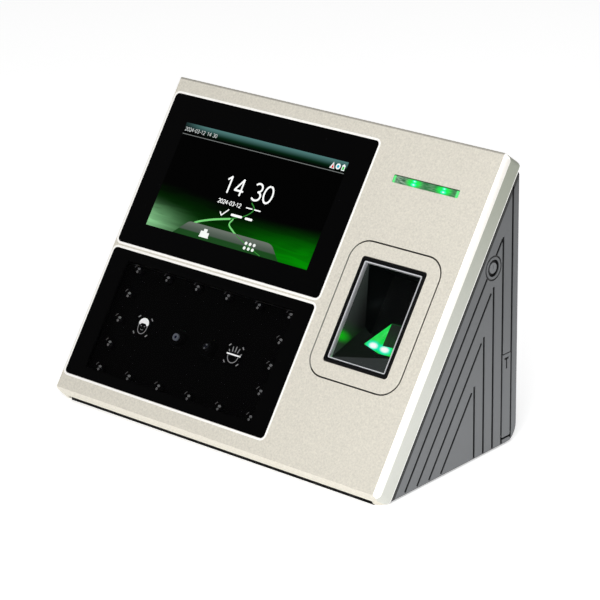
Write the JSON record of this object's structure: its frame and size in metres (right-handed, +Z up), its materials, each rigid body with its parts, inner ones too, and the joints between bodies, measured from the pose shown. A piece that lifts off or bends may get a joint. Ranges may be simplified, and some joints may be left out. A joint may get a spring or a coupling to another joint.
{
  "type": "fingerprint scanner terminal",
  "caption": "Wedge-shaped desk and wall access terminal: sloping front, colour screen, infrared sensor window, lit fingerprint reader, side power button and port flap, wall plate.",
  "frame": {"origin": "middle of the bounding box's footprint, on the surface the terminal stands on", "axes": "+X across the front to the side with the power button, +Y from the front to the flat back, +Z up"},
  "size_m": [0.1944, 0.0995, 0.1366],
  "materials": {
    "cover_paint": "champagne metallic paint, fine grain",
    "housing_plastic": "moulded, fine texture",
    "window_black": "polished black glass",
    "sensor_black": "polished infrared-passing black",
    "lcd_metal": "rolled",
    "bracket_steel": "zinc plated",
    "board_green": "solder mask",
    "board_black": "black solder mask",
    "lamp_lens": "tinted dome",
    "camera_black": "satin barrel",
    "light_guide": "clear, lit green",
    "frame_rubber": "smooth",
    "trim_steel": "polished",
    "prism_glass": "optical, dark",
    "black_plastic": "moulded",
    "green_lamp": "lit green",
    "seal_rubber": "foam",
    "screw_steel": "zinc plated",
    "sink_metal": "extruded",
    "relay_blue": "moulded",
    "cell_steel": "pressed",
    "jack_metal": "tinned",
    "jack_black": "moulded",
    "terminal_green": "moulded",
    "speaker_black": "moulded",
    "battery_wrap": "shrink wrap",
    "ribbon_film": "film",
    "button_plastic": "moulded",
    "plate_steel": "brushed"
  },
  "bodies": {
    "terminal": {"front_cover": "cover_paint", "display_window": "window_black", "sensor_window": "sensor_black", "lcd_panel": "lcd_metal", "lcd_bracket": "bracket_steel", "ir_lamp_board": "board_black", "ir_lamps": "lamp_lens", "ir_camera": "camera_black", "colour_camera": "camera_black", "camera_board": "board_green", "status_light_bar": "light_guide", "status_light_board": "board_green", "reader_surround": "cover_paint", "reader_rubber": "frame_rubber", "reader_trim": "trim_steel", "reader_prism": "prism_glass", "reader_tub": "black_plastic", "reader_board": "board_green", "reader_lamps": "green_lamp", "card_antenna": "board_green", "front_seal": "seal_rubber", "chassis_plate": "bracket_steel", "cover_screws": "screw_steel", "rear_housing": "housing_plastic", "housing_screws": "screw_steel", "main_board": "board_green", "heat_sink": "sink_metal", "door_relay": "relay_blue", "clock_cell": "cell_steel", "ethernet_jack": "jack_metal", "power_jack": "jack_black", "terminal_block": "terminal_green", "usb_board": "board_green", "usb_port": "jack_metal", "loudspeaker": "speaker_black", "backup_battery": "battery_wrap", "battery_strap": "bracket_steel", "display_ribbon": "ribbon_film", "reader_ribbon": "ribbon_film", "lamp_ribbon": "ribbon_film", "button_ring": "black_plastic", "button_board": "board_green", "flap_pin": "screw_steel", "front_foot": "frame_rubber", "rear_feet": "frame_rubber"},
    "button": {"power_button": "button_plastic", "switch_plunger": "black_plastic"},
    "flap": {"port_flap": "housing_plastic"},
    "plate": {"wall_plate": "plate_steel"}
  },
  "joints": [
    {"name": "power_button_press", "type": "slide", "parent": "terminal", "child": "button", "axis": [-1, 0, 0], "range_m": [0, 0.0006], "stiffness_N_per_m": 800, "springref_m": -0.0003},
    {"name": "port_flap_swing", "type": "hinge", "parent": "terminal", "child": "flap", "pos_m": [0.0955, 0.04228, 0.0046], "axis": [0, 1, 0], "range_deg": [0, 90]},
    {"name": "wall_plate_slide", "type": "slide", "parent": "terminal", "child": "plate", "axis": [0, 0, -1], "range_m": [0, 0.008]}
  ]
}
